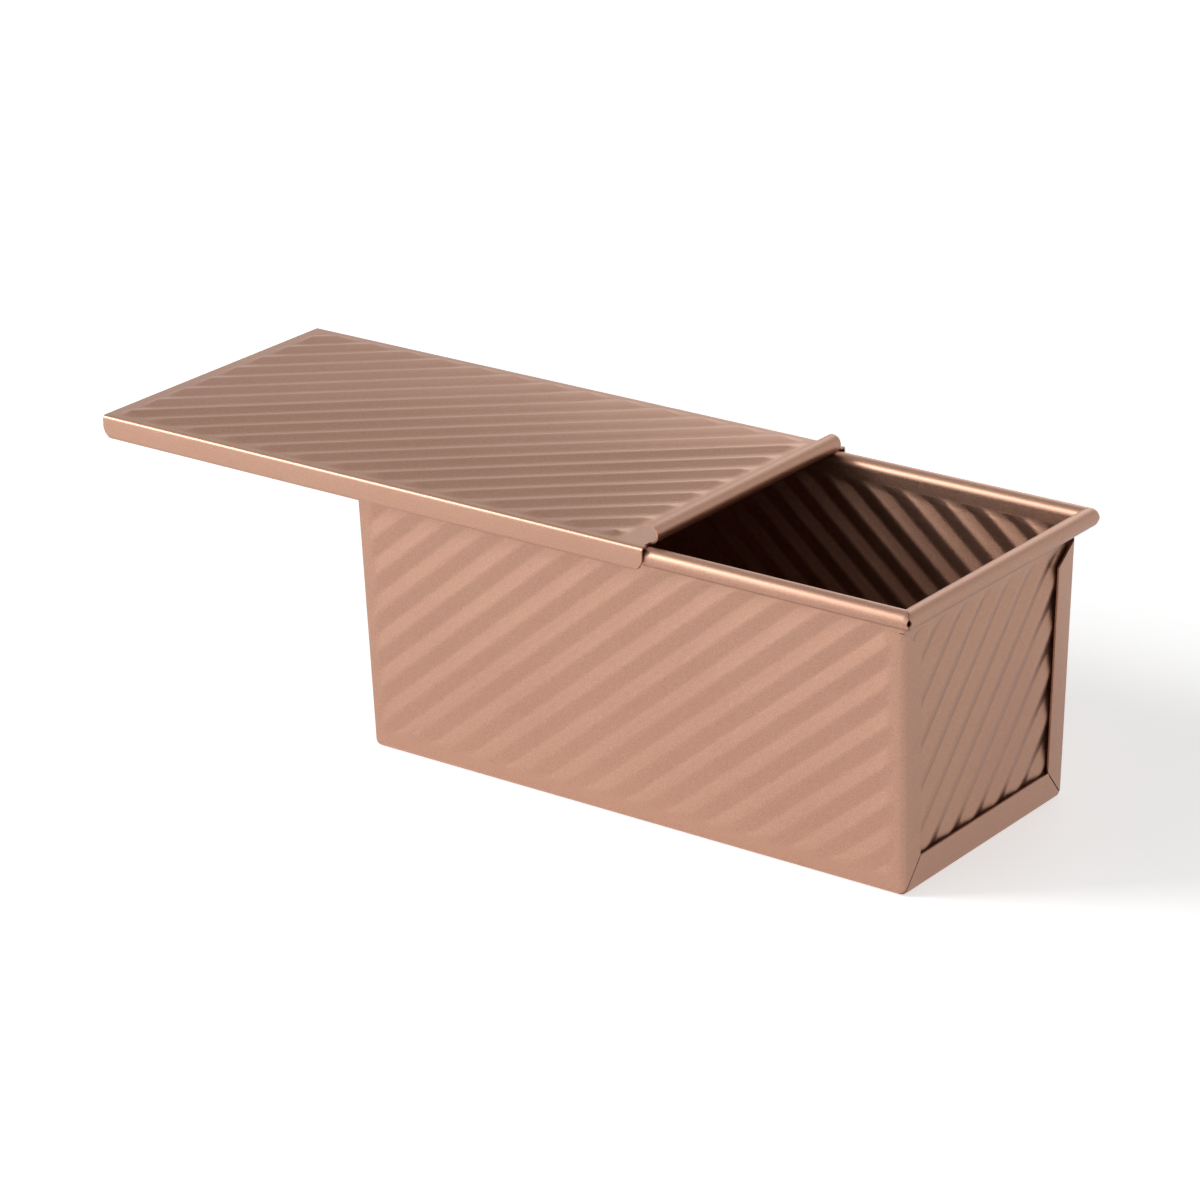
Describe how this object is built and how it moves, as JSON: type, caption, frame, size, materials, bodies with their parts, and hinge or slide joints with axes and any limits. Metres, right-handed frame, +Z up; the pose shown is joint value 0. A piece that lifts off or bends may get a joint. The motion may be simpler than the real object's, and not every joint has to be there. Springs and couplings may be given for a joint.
{
  "type": "pullman loaf pan",
  "caption": "Straight-sided loaf pan of folded, slant-ribbed sheet steel with a rolled rim and a ribbed lid that slides along the long rims by channel edges.",
  "frame": {"origin": "middle of the underside of the pan's floor", "axes": "+X along the pan towards the lid's curled grip, +Y from the front wall to the back wall, +Z up"},
  "size_m": [0.305, 0.1078, 0.0988],
  "materials": {
    "coated_steel": "satin rose-gold non-stick coat",
    "wire_steel": "bare drawn wire"
  },
  "bodies": {
    "pan": {"pan_wrap": "coated_steel", "end_panel_left": "coated_steel", "end_panel_right": "coated_steel", "rim_wire": "wire_steel"},
    "lid_body": {"lid": "coated_steel"}
  },
  "joints": [
    {"name": "lid_slide", "type": "slide", "parent": "pan", "child": "lid_body", "axis": [1, 0, 0], "range_m": [-0.125, 0.093]}
  ]
}
